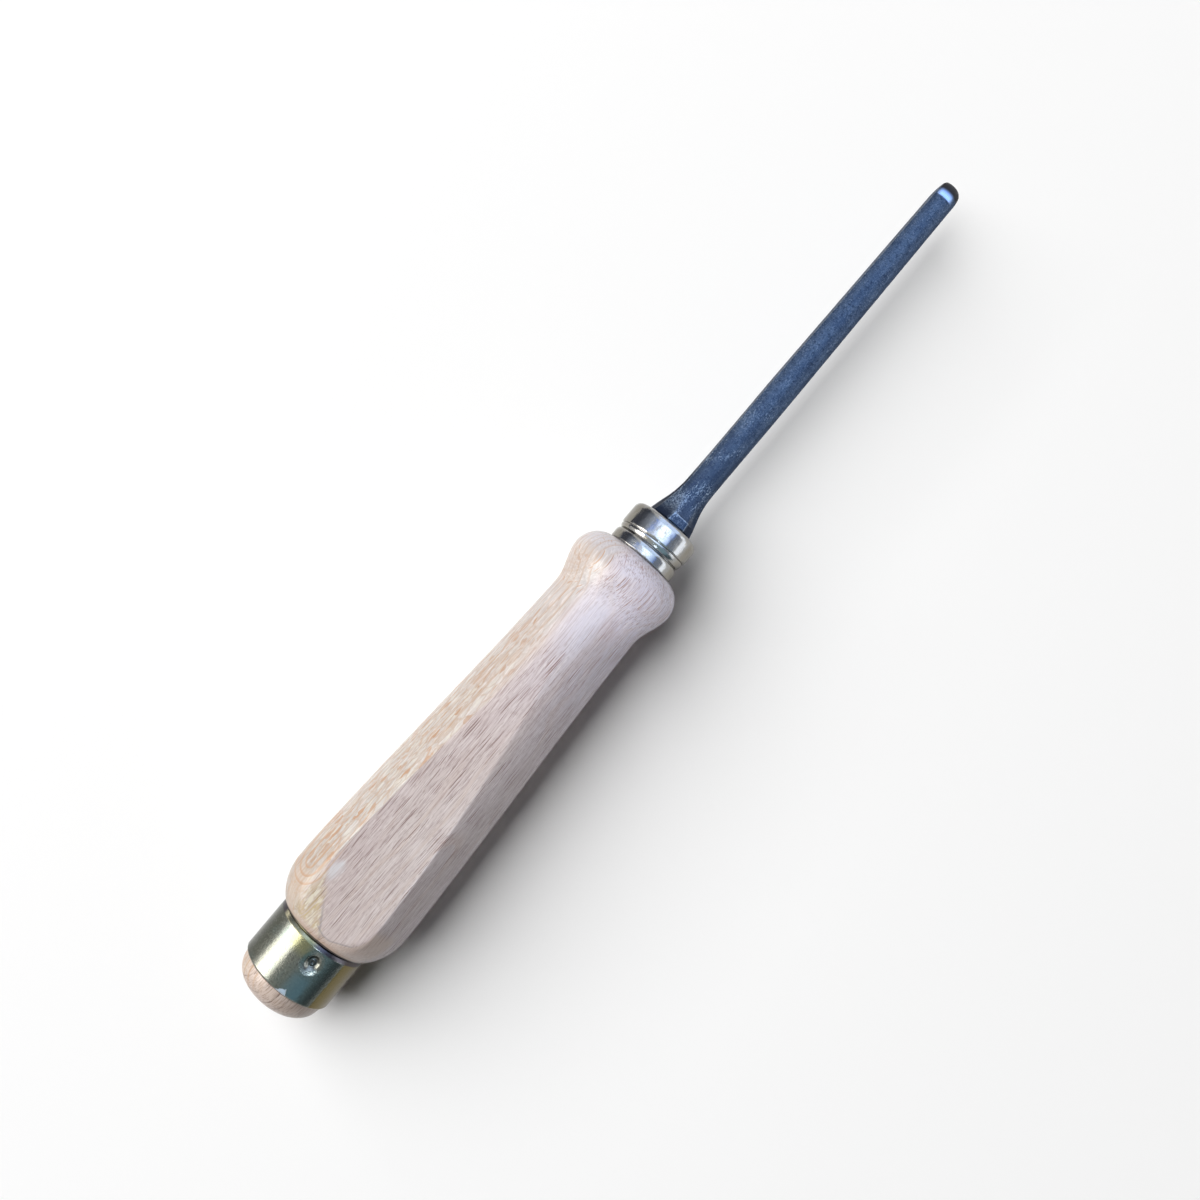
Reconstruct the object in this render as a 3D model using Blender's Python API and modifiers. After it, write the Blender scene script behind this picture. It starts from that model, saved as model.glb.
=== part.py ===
# Carving chisel: a forged gouge blade driven into a turned beech handle with a ferrule and a striking hoop.
# Everything is made along the tool's own axis, local Z, butt end at zero, and then laid on the ground.
import math

import bmesh
import bpy
from mathutils import Vector

for old in list(bpy.data.objects):
    bpy.data.objects.remove(old, do_unlink=True)

# Fits and fineness
FIT_GAP = 0.0003
TURN_STEPS = 64

# Striking end and hoop
DOME_LENGTH = 0.0077
DOME_SPREAD = 0.00035
DOME_FULLNESS = 2.5
HOOP_RADIUS = 0.0126
HOOP_LENGTH = 0.0151
HOOP_WALL = 0.0009
HOOP_BEVEL_LENGTH = 0.0010
HOOP_BEVEL_DROP = 0.0005
HOOP_REAR_ROUND = 0.0005

# Punched dimple that locks the hoop to the wood
DIMPLE_FROM_FRONT = 0.0047
DIMPLE_ANGLE = 14.0
DIMPLE_RADIUS = 0.0026
DIMPLE_DEPTH = 0.0006
PRICK_RADIUS = 0.0012
PRICK_DEPTH = 0.0008
DIMPLE_WALL = 0.0006

# Grip of the handle
GRIP_LENGTH = 0.1207
SHOULDER_STEP = 0.0003
SHOULDER_ROUND = 0.01375
GRIP_RADIUS = 0.0170
GRIP_CROWN_LENGTH = 0.0040
WAIST_RADIUS = 0.0126
WAIST_LENGTH = 0.0025
BEAD_RADIUS = 0.0150
BEAD_COVE_LENGTH = 0.0100
BEAD_NOSE_LENGTH = 0.0066
BEAD_FRONT_RADIUS = 0.0097

# Two milled flats, above and below, that taper a little toward the blade
FLAT_REAR_DISTANCE = 0.0139
FLAT_FRONT_DISTANCE = 0.0128

# Front ferrule
FERRULE_WALL = 0.0007
FERRULE_HOLE_RADIUS = 0.0050
BAND_RADIUS = 0.0093
BAND_LENGTH = 0.0033
GROOVE_RADIUS = 0.0087
RING_RADIUS = 0.0091
RING_LENGTH = 0.0018
CAP_RADIUS = 0.00945
CAP_LENGTH = 0.0061
CAP_ROUND = 0.0021

# Blade, shank and bolster
BLADE_LENGTH = 0.1098
BLADE_ROLL = 14.0
BOLSTER_WIDTH = 0.0118
BOLSTER_LENGTH = 0.0022
FLARE_LENGTH = 0.0115
ROOT_WIDTH = 0.0081
ROOT_THICKNESS = 0.0056
EDGE_WIDTH = 0.0060
EDGE_NARROWING = 0.83
BACK_HEIGHT = 0.0019
WEB_THICKNESS = 0.0024
BACK_SWEEP_RADIUS = 0.0042
FLUTE_SWEEP_RADIUS = 0.0046
FLUTE_START = 0.0160
FLUTE_FULL = 0.0480
BEVEL_LENGTH = 0.0050
EDGE_LAND = 0.0001

# Tang
TANG_LENGTH = 0.0620
TANG_ROOT_WIDTH = 0.0058
TANG_TIP_WIDTH = 0.0024

# Stations along the tool, worked out from the sizes
Z_HOOP_REAR = DOME_LENGTH
Z_HOOP_FRONT = Z_HOOP_REAR + HOOP_LENGTH
Z_SHOULDER = Z_HOOP_FRONT + FIT_GAP
Z_BEAD_FRONT = Z_SHOULDER + GRIP_LENGTH
Z_BEAD = Z_BEAD_FRONT - BEAD_NOSE_LENGTH
Z_WAIST_FRONT = Z_BEAD - BEAD_COVE_LENGTH
Z_WAIST_REAR = Z_WAIST_FRONT - WAIST_LENGTH
Z_FERRULE_REAR = Z_BEAD_FRONT + FIT_GAP
Z_GROOVE = Z_FERRULE_REAR + BAND_LENGTH
Z_CAP_REAR = Z_GROOVE + RING_LENGTH
Z_FERRULE_FRONT = Z_CAP_REAR + CAP_LENGTH
Z_SEAT = Z_FERRULE_FRONT + FIT_GAP
Z_TIP = Z_SEAT + BLADE_LENGTH

HOOP_TENON_RADIUS = HOOP_RADIUS - HOOP_WALL - FIT_GAP
SHOULDER_RADIUS = HOOP_RADIUS + SHOULDER_STEP

# The shoulder is an arc that starts at the hoop and ends level at the grip's fullest place
SHOULDER_REACH = math.sqrt(SHOULDER_ROUND ** 2 - (SHOULDER_ROUND - GRIP_RADIUS + SHOULDER_RADIUS) ** 2)
Z_FULL_REAR = Z_SHOULDER + SHOULDER_REACH
Z_FULL_FRONT = Z_FULL_REAR + GRIP_CROWN_LENGTH
FLAT_END_TURN = math.acos(1.0 - (GRIP_RADIUS - FLAT_REAR_DISTANCE) / SHOULDER_ROUND)
Z_FLAT_REAR = Z_FULL_REAR - SHOULDER_ROUND * math.sin(FLAT_END_TURN)


def new_collection(name, hidden):
    group = bpy.data.collections.new(name)
    bpy.context.scene.collection.children.link(group)
    group.hide_render = hidden
    return group


PARTS = new_collection("carving_chisel", False)
CUTTERS = new_collection("cutters", True)


def plain_material(name, colour, metallic, roughness):
    made = bpy.data.materials.new(name)
    made.use_nodes = True
    shader = made.node_tree.nodes["Principled BSDF"]
    shader.inputs["Base Color"].default_value = (*colour, 1.0)
    shader.inputs["Metallic"].default_value = metallic
    shader.inputs["Roughness"].default_value = roughness
    return made


def new_object(name, mesh, group):
    made = bpy.data.objects.new(name, mesh)
    group.objects.link(made)
    if group is CUTTERS:
        made.hide_render = True
        made.display_type = "WIRE"
    return made


def turned(name, profile, group, closed=False, steps=TURN_STEPS):
    # A profile of (radius, station) pairs, run from its front end down to its rear end, spun about Z
    mesh = bpy.data.meshes.new(name)
    links = [(i, i + 1) for i in range(len(profile) - 1)]
    if closed:
        links.append((len(profile) - 1, 0))
    mesh.from_pydata([(radius, 0.0, station) for radius, station in profile], links, [])
    made = new_object(name, mesh, group)
    spin = made.modifiers.new("Turn", "SCREW")
    spin.axis = "Z"
    spin.angle = math.tau
    spin.steps = steps
    spin.render_steps = steps
    spin.use_merge_vertices = True
    spin.merge_threshold = 0.000002
    spin.use_smooth_shade = False
    return made


def carve(target, tool, operation="DIFFERENCE"):
    step = target.modifiers.new(tool.name, "BOOLEAN")
    step.operation = operation
    step.solver = "EXACT"
    step.object = tool


def ease(t):
    return t * t * (3.0 - 2.0 * t)


def blend(a, b, t):
    return a + (b - a) * t


def lofted(name, sections, group):
    # Each section is (station, top points, bottom points); top runs one way and bottom runs back under it
    shape = bmesh.new()
    rings = []
    for station, top, bottom in sections:
        rings.append([shape.verts.new((-v, u, station)) for u, v in top + bottom])
    count = len(rings[0])
    half = count // 2
    for low, high in zip(rings, rings[1:]):
        for i in range(count):
            j = (i + 1) % count
            shape.faces.new((low[i], low[j], high[j], high[i]))
    for ring in (rings[0], rings[-1]):
        for i in range(half - 1):
            shape.faces.new((ring[i], ring[i + 1], ring[count - 2 - i], ring[count - 1 - i]))
    bmesh.ops.recalc_face_normals(shape, faces=shape.faces[:])
    mesh = bpy.data.meshes.new(name)
    shape.to_mesh(mesh)
    shape.free()
    return new_object(name, mesh, group)


# Ferrule profile, front to rear, shared by the ferrule's outside, its inside and the wood under it
def ferrule_line(inset):
    line = []
    for i in range(7):
        angle = math.radians(90.0 - 15.0 * i)
        radius = CAP_RADIUS - CAP_ROUND + CAP_ROUND * math.cos(angle)
        station = Z_FERRULE_FRONT - CAP_ROUND + CAP_ROUND * math.sin(angle)
        line.append((radius, station))
    line.append((CAP_RADIUS, Z_CAP_REAR + 0.12 * CAP_LENGTH))
    line.append((blend(RING_RADIUS, CAP_RADIUS, 0.75), Z_CAP_REAR + 0.04 * CAP_LENGTH))
    line.append((blend(GROOVE_RADIUS, RING_RADIUS, 0.4), Z_CAP_REAR))
    line.append((RING_RADIUS, Z_CAP_REAR - 0.25 * RING_LENGTH))
    line.append((blend(GROOVE_RADIUS, RING_RADIUS, 0.6), Z_GROOVE + 0.25 * RING_LENGTH))
    line.append((GROOVE_RADIUS, Z_GROOVE))
    line.append((blend(GROOVE_RADIUS, BAND_RADIUS, 0.75), Z_GROOVE - 0.12 * BAND_LENGTH))
    line.append((BAND_RADIUS, Z_GROOVE - 0.45 * BAND_LENGTH))
    line.append((blend(GROOVE_RADIUS, BAND_RADIUS, 0.9), Z_FERRULE_REAR))
    top = Z_FERRULE_FRONT - inset
    return [(radius - inset, min(station, top)) for radius, station in line]


# Handle, one piece of turned beech
def handle_profile():
    line = [(0.0, Z_FERRULE_FRONT - FERRULE_WALL - FIT_GAP)]
    under = FERRULE_WALL + FIT_GAP
    tenon = ferrule_line(under)
    line += [tenon[0], tenon[3]] + tenon[6:]
    line[-1] = (line[-1][0], Z_BEAD_FRONT)
    # Bead, a rounded nose in front and a cove behind
    for i in range(9):
        angle = math.radians(90.0 * i / 8)
        radius = blend(BEAD_FRONT_RADIUS, BEAD_RADIUS, math.sin(angle) ** 1.15)
        station = blend(Z_BEAD_FRONT, Z_BEAD, 1.0 - math.cos(angle))
        line.append((radius, station))
    for i in range(1, 8):
        t = i / 7
        line.append((blend(BEAD_RADIUS, WAIST_RADIUS, ease(t)), blend(Z_BEAD, Z_WAIST_FRONT, t)))
    # Tapered grip from the waist back to its fullest place
    for i in range(11):
        t = i / 10
        fall = 0.65 * t + 0.35 * ease(t)
        line.append((blend(WAIST_RADIUS, GRIP_RADIUS, fall), blend(Z_WAIST_REAR, Z_FULL_FRONT, t)))
    # Rounded shoulder down to the hoop
    sweep = math.asin(SHOULDER_REACH / SHOULDER_ROUND)
    for i in range(8):
        angle = sweep * i / 7
        radius = GRIP_RADIUS - SHOULDER_ROUND * (1.0 - math.cos(angle))
        line.append((radius, Z_FULL_REAR - SHOULDER_ROUND * math.sin(angle)))
    line.append((HOOP_TENON_RADIUS, Z_SHOULDER))
    line.append((HOOP_TENON_RADIUS, Z_HOOP_REAR - FIT_GAP))
    # Domed striking end, spread a little over the hoop by the mallet
    base = HOOP_TENON_RADIUS + DOME_SPREAD
    power = 2.0 / DOME_FULLNESS
    for i in range(9):
        angle = math.radians(90.0 * i / 9)
        rise = math.sin(angle) ** power
        line.append((base * math.cos(angle) ** power, (Z_HOOP_REAR - FIT_GAP) * (1.0 - rise)))
    line.append((0.0, 0.0))
    return line


def square_ring(width, corner, n):
    # Top half of a square section with small chamfers, left to right
    half = width / 2
    top = []
    for i in range(n + 1):
        if i <= 2:
            top.append((blend(-half, -half + corner, i / 2), blend(half - corner, half, i / 2)))
        elif i >= n - 2:
            t = (i - n + 2) / 2
            top.append((blend(half - corner, half, t), blend(half, half - corner, t)))
        else:
            top.append((blend(-half + corner, half - corner, (i - 2) / (n - 4)), half))
    return top


def mirrored_under(top):
    return [(u, -v) for u, v in reversed(top)]


SECTION_STEPS = 16


def tang_sections(extra):
    made = []
    for i in range(5):
        t = i / 4
        width = blend(TANG_TIP_WIDTH, TANG_ROOT_WIDTH, t) + 2 * extra
        top = square_ring(width, 0.16 * width, SECTION_STEPS)
        made.append((blend(Z_SEAT - TANG_LENGTH - extra, Z_SEAT, t), top, mirrored_under(top)))
    return made


# Blade, one forging from the tang to the cutting edge
def octagon_ring(width, height, n):
    half = width / 2
    facet = half * math.tan(math.radians(22.5))
    rise = height / width
    top = []
    for i in range(n + 1):
        if i <= 4:
            t = i / 4
            top.append((blend(-half, -facet, t), rise * blend(facet, half, t)))
        elif i >= n - 4:
            t = (i - n + 4) / 4
            top.append((blend(facet, half, t), rise * blend(half, facet, t)))
        else:
            top.append((blend(-facet, facet, (i - 4) / (n - 8)), rise * half))
    return top


def arc_ring(half, radius, peak, n):
    # An arc of the given sweep from one side to the other, its middle at the peak height
    safe = max(radius, half * 1.02)
    reach = math.asin(half / safe)
    ring = []
    for i in range(n + 1):
        angle = blend(-reach, reach, i / n)
        ring.append((safe * math.sin(angle), peak - safe * (1.0 - math.cos(angle))))
    return ring


def mixed(a, b, t):
    return [(blend(p[0], q[0], t), blend(p[1], q[1], t)) for p, q in zip(a, b)]


def blade_width(along):
    # An even taper to the edge, flared out smoothly at the bolster
    flare = max(0.0, 1.0 - along / FLARE_LENGTH) ** 1.6
    even = blend(ROOT_WIDTH, EDGE_WIDTH, along / (BLADE_LENGTH - BEVEL_LENGTH))
    return even + (BOLSTER_WIDTH - ROOT_WIDTH) * flare


def blade_height(along):
    # Level over the bolster, then falling fast from its front arris to the thickness of the blade
    flare = min(1.0, max(0.0, (FLARE_LENGTH - along) / (FLARE_LENGTH - BOLSTER_LENGTH))) ** 2.2
    t = max(0.0, (along - FLARE_LENGTH) / (BLADE_LENGTH - BEVEL_LENGTH - FLARE_LENGTH))
    return blend(ROOT_THICKNESS, 2 * BACK_HEIGHT, t) + (BOLSTER_WIDTH - ROOT_THICKNESS) * flare


def blade_sections():
    made = tang_sections(0.0)
    n = SECTION_STEPS
    bevel_start = BLADE_LENGTH - BEVEL_LENGTH
    # Octagonal bolster, then the flared shank, hollow above and below
    steps = 8
    for along in [0.0] + [blend(BOLSTER_LENGTH, FLARE_LENGTH, i / steps) for i in range(steps + 1)]:
        top = octagon_ring(blade_width(along), blade_height(along), n)
        made.append((Z_SEAT + along, top, mirrored_under(top)))
    # Blade, its back growing round and its flute growing deep toward the edge
    steps = 16
    for i in range(1, steps + 1):
        t = i / steps
        along = blend(FLARE_LENGTH, bevel_start, t)
        half = blade_width(along) / 2
        peak = blade_height(along) / 2
        shank = octagon_ring(2 * half, 2 * peak, n)
        round_back = arc_ring(half, BACK_SWEEP_RADIUS * half / (EDGE_WIDTH / 2), peak, n)
        top = mixed(shank, round_back, ease(min(1.0, t * 3.0)))
        flute = min(1.0, max(0.0, (along - FLUTE_START) / (FLUTE_FULL - FLUTE_START)))
        hollow = arc_ring(half, FLUTE_SWEEP_RADIUS * half / (EDGE_WIDTH / 2), peak - WEB_THICKNESS, n)
        bottom = mixed(mirrored_under(shank), list(reversed(hollow)), ease(flute))
        made.append((Z_SEAT + along, top, bottom))
    # Ground bevel on the back, rounding down to the flute's own curve, its corners taken in
    last_top = made[-1][1]
    last_bottom = made[-1][2]
    steps = 6
    for i in range(1, steps + 1):
        t = i / steps
        narrow = blend(1.0, EDGE_NARROWING, t * t)
        bottom = [(u * narrow, v) for u, v in last_bottom]
        fall = 0.5 * t + 0.5 * t ** 3
        top = [
            (p[0] * narrow, blend(p[1], q[1] + EDGE_LAND, fall))
            for p, q in zip(last_top, reversed(last_bottom))
        ]
        made.append((Z_SEAT + blend(bevel_start, BLADE_LENGTH, t), top, bottom))
    return made


# Hoop, a rolled band with a bevelled front edge and a softened rear edge
def hoop_profile():
    inner = HOOP_RADIUS - HOOP_WALL
    line = [(inner, Z_HOOP_FRONT), (HOOP_RADIUS - HOOP_BEVEL_DROP, Z_HOOP_FRONT)]
    line.append((HOOP_RADIUS, Z_HOOP_FRONT - HOOP_BEVEL_LENGTH))
    for i in range(4):
        angle = math.radians(30.0 * i)
        radius = HOOP_RADIUS - HOOP_REAR_ROUND * (1.0 - math.cos(angle))
        line.append((radius, Z_HOOP_REAR + HOOP_REAR_ROUND * (1.0 - math.sin(angle))))
    line.append((inner, Z_HOOP_REAR))
    return line


def punch_profile(grow, top):
    # The dimple's outline as a small turned tool, its own axis along the blow; front end up at the given height
    line = [(0.0, top), (DIMPLE_RADIUS + grow, top)]
    line.append((DIMPLE_RADIUS + grow, min(0.0, top - 0.25 * DIMPLE_DEPTH)))
    line.append((blend(PRICK_RADIUS, DIMPLE_RADIUS, 0.55) + grow, -0.75 * DIMPLE_DEPTH - grow))
    line.append((PRICK_RADIUS + grow, -DIMPLE_DEPTH - grow))
    line.append((0.75 * PRICK_RADIUS + grow, -DIMPLE_DEPTH - 0.8 * PRICK_DEPTH - grow))
    line.append((0.0, -DIMPLE_DEPTH - PRICK_DEPTH - grow))
    return line


def aim_punch(tool):
    # Stand the tool on the hoop's outside, turned round the hoop by the dimple's angle
    around = math.radians(DIMPLE_ANGLE)
    outward = Vector((-math.cos(around), -math.sin(around), 0.0))
    tool.location = outward * HOOP_RADIUS + Vector((0.0, 0.0, Z_HOOP_FRONT - DIMPLE_FROM_FRONT))
    tool.rotation_mode = "QUATERNION"
    tool.rotation_quaternion = outward.to_track_quat("Z", "Y")


# Build the handle and cut its flats, tang socket and dimple seat
handle = turned("handle", handle_profile(), PARTS)
flat_slope = (FLAT_REAR_DISTANCE - FLAT_FRONT_DISTANCE) / (Z_WAIST_FRONT - Z_FLAT_REAR)
for side, name in ((-1.0, "flat_above"), (1.0, "flat_below")):
    mesh = bpy.data.meshes.new(name)
    box = bmesh.new()
    bmesh.ops.create_cube(box, size=1.0)
    deep = GRIP_RADIUS
    for corner in box.verts:
        front = corner.co.z > 0
        station = Z_WAIST_FRONT if front else Z_SHOULDER
        near = FLAT_FRONT_DISTANCE + flat_slope * (Z_WAIST_FRONT - station)
        out = near if corner.co.x * side < 0 else near + deep
        corner.co = (side * out, 4 * GRIP_RADIUS * corner.co.y, station)
    bmesh.ops.recalc_face_normals(box, faces=box.faces[:])
    box.to_mesh(mesh)
    box.free()
    carve(handle, new_object(name, mesh, CUTTERS))
socket_sections = tang_sections(FIT_GAP)
mouth = socket_sections[-1]
socket_sections.append((Z_SEAT + 0.004, mouth[1], mouth[2]))
socket = lofted("tang_socket", socket_sections, CUTTERS)
carve(handle, socket)
seat_tool = turned("dimple_seat", punch_profile(DIMPLE_WALL + FIT_GAP, DIMPLE_DEPTH), CUTTERS, steps=24)
aim_punch(seat_tool)
carve(handle, seat_tool)

# Build the hoop and strike its dimple
hoop = turned("striking_hoop", hoop_profile(), PARTS, closed=True)
backing = turned("dimple_backing", punch_profile(DIMPLE_WALL, -0.6 * HOOP_WALL), CUTTERS, steps=24)
aim_punch(backing)
carve(hoop, backing, "UNION")
punch = turned("dimple_punch", punch_profile(0.0, 2 * DIMPLE_DEPTH), CUTTERS, steps=24)
aim_punch(punch)
carve(hoop, punch)

# Build the front ferrule as a drawn cap of even wall
outside = ferrule_line(0.0)
inside = ferrule_line(FERRULE_WALL)
inside[-1] = (inside[-1][0], Z_FERRULE_REAR)
rim = [(FERRULE_HOLE_RADIUS, Z_FERRULE_FRONT)]
lip = [(FERRULE_HOLE_RADIUS, Z_FERRULE_FRONT - FERRULE_WALL)]
hidden = [inside[0], inside[3]] + inside[6:]
ferrule = turned("front_ferrule", rim + outside + hidden[::-1] + lip, PARTS, closed=True)

# Build the blade
blade = lofted("blade", blade_sections(), PARTS)
blade.rotation_euler = (0.0, 0.0, math.radians(BLADE_ROLL))
socket.rotation_euler = (0.0, 0.0, math.radians(BLADE_ROLL))

# Finishes
handle.data.materials.append(plain_material("beech", (0.62, 0.50, 0.41), 0.0, 0.55))
hoop.data.materials.append(plain_material("yellow_zinc", (0.62, 0.57, 0.36), 1.0, 0.3))
ferrule.data.materials.append(plain_material("nickel", (0.72, 0.71, 0.68), 1.0, 0.15))
blade.data.materials.append(plain_material("blued_steel", (0.06, 0.09, 0.15), 1.0, 0.4))

# Lay the tool on the ground, on its front bead and the rear end of its lower flat
tilt = -math.atan2(BEAD_RADIUS - FLAT_REAR_DISTANCE, Z_BEAD - Z_FLAT_REAR)
axis = bpy.data.objects.new("tool_axis", None)
PARTS.objects.link(axis)
axis.rotation_euler = (0.0, math.radians(90.0) + tilt, 0.0)
axis.location = (
    -0.5 * Z_TIP * math.cos(tilt),
    0.0,
    BEAD_RADIUS * math.cos(tilt) + Z_BEAD * math.sin(tilt),
)
for piece in list(PARTS.objects) + list(CUTTERS.objects):
    if piece is not axis:
        piece.parent = axis
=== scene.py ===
import math

import bmesh
import bpy
from mathutils import Matrix, Vector


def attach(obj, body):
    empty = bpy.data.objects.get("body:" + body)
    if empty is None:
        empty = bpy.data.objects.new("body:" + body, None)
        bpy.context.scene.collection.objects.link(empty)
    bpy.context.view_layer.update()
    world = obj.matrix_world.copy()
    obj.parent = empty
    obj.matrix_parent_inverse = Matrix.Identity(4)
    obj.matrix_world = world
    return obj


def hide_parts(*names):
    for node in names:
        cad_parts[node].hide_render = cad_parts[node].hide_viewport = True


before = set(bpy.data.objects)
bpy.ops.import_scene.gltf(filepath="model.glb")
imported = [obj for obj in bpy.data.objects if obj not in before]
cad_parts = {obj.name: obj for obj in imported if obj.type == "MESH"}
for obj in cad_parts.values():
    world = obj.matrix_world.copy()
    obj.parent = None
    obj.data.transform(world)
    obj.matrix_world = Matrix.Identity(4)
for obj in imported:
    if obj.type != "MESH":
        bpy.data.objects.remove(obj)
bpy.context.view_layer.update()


# ------------------------------------------------------------
# Handle: one length of pale beech, turned between centres with a rounded shoulder, a slow taper,
# a cove and a bead, then milled flat above and below. It was sanded, sealed thinly and its butt
# was left bare as a dome to be struck.

class Wire:
    """An output socket of a node tree; arithmetic on it adds Math nodes."""

    def __init__(self, tree, socket=None):
        self.tree = tree
        self.socket = socket

    def add(self, kind, settings=None, sockets=None, out=0):
        made = self.tree.nodes.new(kind)
        for name, value in (settings or {}).items():
            setattr(made, name, value)
        for name, value in (sockets or {}).items():
            if isinstance(value, Wire):
                self.tree.links.new(value.socket, made.inputs[name])
            else:
                made.inputs[name].default_value = value
        return Wire(self.tree, made.outputs[out])

    def also(self, out):
        return Wire(self.tree, self.socket.node.outputs[out])

    def math(self, operation, *values):
        return self.add("ShaderNodeMath", {"operation": operation}, dict(enumerate(values)))

    def __add__(self, other):
        return self.math("ADD", self, other)

    def __sub__(self, other):
        return self.math("SUBTRACT", self, other)

    def __rsub__(self, other):
        return self.math("SUBTRACT", other, self)

    def __mul__(self, other):
        return self.math("MULTIPLY", self, other)

    def __truediv__(self, other):
        return self.math("DIVIDE", self, other)

    def __rtruediv__(self, other):
        return self.math("DIVIDE", other, self)

    def __pow__(self, other):
        return self.math("POWER", self, other)

    __radd__ = __add__
    __rmul__ = __mul__

    def least(self, other):
        return self.math("MINIMUM", self, other)

    def most(self, other):
        return self.math("MAXIMUM", self, other)

    def step(self, low, high):
        # 0 below low, 1 above high, eased between; low may be the larger of the two
        return self.add(
            "ShaderNodeMapRange", {"interpolation_type": "SMOOTHSTEP"},
            {"Value": self, "From Min": low, "From Max": high, "To Min": 0.0, "To Max": 1.0})

    def band(self, low, full_low, full_high, high):
        # 1 between the middle two, eased down to 0 at the outer two
        return self.step(low, full_low) * self.step(high, full_high)

    def axes(self):
        split = self.add("ShaderNodeSeparateXYZ", None, {0: self})
        return split, split.also(1), split.also(2)

    def stretch(self, lengths, turn=(0.0, 0.0, 0.0)):
        # Measures the pattern's space in the given lengths, so one unit is one grain of it
        scale = tuple(1.0 / length for length in lengths)
        return self.add("ShaderNodeMapping", None, {"Vector": self, "Rotation": turn, "Scale": scale})

    def noise(self, detail=2.0, rough=0.5, out=0):
        return self.add("ShaderNodeTexNoise", None, {
            "Vector": self, "Scale": 1.0, "Detail": detail, "Roughness": rough}, out)

    def cells(self, feature="F1"):
        return self.add("ShaderNodeTexVoronoi", {"feature": feature}, {"Vector": self, "Scale": 1.0})

    def mix(self, low, high):
        # One colour where this is 0 and the other where it is 1
        ends = [end if isinstance(end, Wire) else (*end, 1.0) for end in (low, high)]
        return self.add("ShaderNodeMix", {"data_type": "RGBA"}, {0: self, 6: ends[0], 7: ends[1]}, 2)

    def tint(self, part, colour, amount=1.0):
        # This colour washed with another where the part is 1
        return (part * amount).mix(self, colour)

    def attribute(self, name):
        return self.add("ShaderNodeAttribute", {"attribute_name": name}, None, "Fac")


def start_material(name):
    made = bpy.data.materials.new(name)
    made.use_nodes = True
    tree = made.node_tree
    tree.nodes.remove(tree.nodes["Principled BSDF"])
    return made, Wire(tree).add("ShaderNodeTexCoord", None, None, "Object")


def to_surface(shader):
    output = shader.tree.nodes["Material Output"]
    shader.tree.links.new(shader.socket, output.inputs["Surface"])


def finish_material(place, colour, rough, height, depth, fixed):
    # Joins colour, roughness and relief to the shader and sets what is even all over
    relief = place.add("ShaderNodeBump", None, {"Height": height, "Distance": depth, "Strength": 1.0})
    to_surface(place.add("ShaderNodeBsdfPrincipled", None, {
        "Base Color": colour, "Roughness": rough, "Normal": relief, **fixed}))


def ease(t):
    t = min(1.0, max(0.0, t))
    return t * t * (3.0 - 2.0 * t)


def blend(a, b, t):
    return a + (b - a) * t


def shares(count, first=0):
    # Even steps up to 1, from 0 or from a later one
    return [i / count for i in range(first, count + 1)]


# Radii and stations of the turning; a station is a distance from the butt along the axis
TOOL_LENGTH = 0.2654
DOME_REAR, DOME_FRONT, DOME_SWELL, DOME_FULLNESS = 0.00001, 0.0074, 0.00035, 2.5
REAR_TENON_RADIUS, DIMPLE_WAIST = 0.0114, 0.0101
SHOULDER_STATION, SHOULDER_RADIUS, SHOULDER_ROUND, SHOULDER_STEPS = 0.0231, 0.0129, 0.01375, 44
GRIP_RADIUS, FULL_LENGTH, TAPER_EVENNESS = 0.017, 0.004, 0.65
FULL_REAR = SHOULDER_STATION + math.sqrt(
    SHOULDER_ROUND ** 2 - (SHOULDER_ROUND - GRIP_RADIUS + SHOULDER_RADIUS) ** 2)
FULL_FRONT = FULL_REAR + FULL_LENGTH
WAIST_RADIUS, WAIST_REAR, WAIST_FRONT = 0.0126, 0.1247, 0.1272
BEAD_RADIUS, BEAD_FRONT_RADIUS, BEAD_FULLNESS = 0.015, 0.0097, 1.15
BEAD, BEAD_FRONT = 0.1372, 0.1438
FLAT_REAR, FLAT_FRONT, FLAT_REAR_STATION, TWIST_CURVE = 0.0139, 0.0128, 0.024197, 1.6
# Where the upper flat twists, runs out and changes its arrises: from a station, over a length
TWIST_OVER, RUNS_OUT_OVER, FRONT_ARRIS_OVER = (0.05, 0.058), (0.0885, 0.035), (0.072, 0.036)
NEAR_ARRIS_OVER, FAR_ARRIS_OVER = (0.024, 0.0075), (0.036, 0.008)
TANG_HOLE = ((0.0, 0.0925), (0.0021, 0.0926), (0.0046, 0.154), (0.00465, 0.1543))
FRONT_TENON = (
    (0.0076, 0.1543), (0.0084, 0.1535), (0.0084, 0.15), (0.0077, 0.1488), (0.0077, 0.1474),
    (0.0083, 0.146), (0.0082, BEAD_FRONT))
# The tool rests on its bead and on the rear end of its lower flat, so the axis climbs a little
AXIS_RISE = math.atan2(BEAD_RADIUS - FLAT_REAR, BEAD - FLAT_REAR_STATION)
RISE_COS, RISE_SIN = math.cos(AXIS_RISE), math.sin(AXIS_RISE)
BUTT_X = -0.5 * TOOL_LENGTH * RISE_COS
BUTT_Z = BEAD_RADIUS * RISE_COS - BEAD * RISE_SIN


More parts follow.
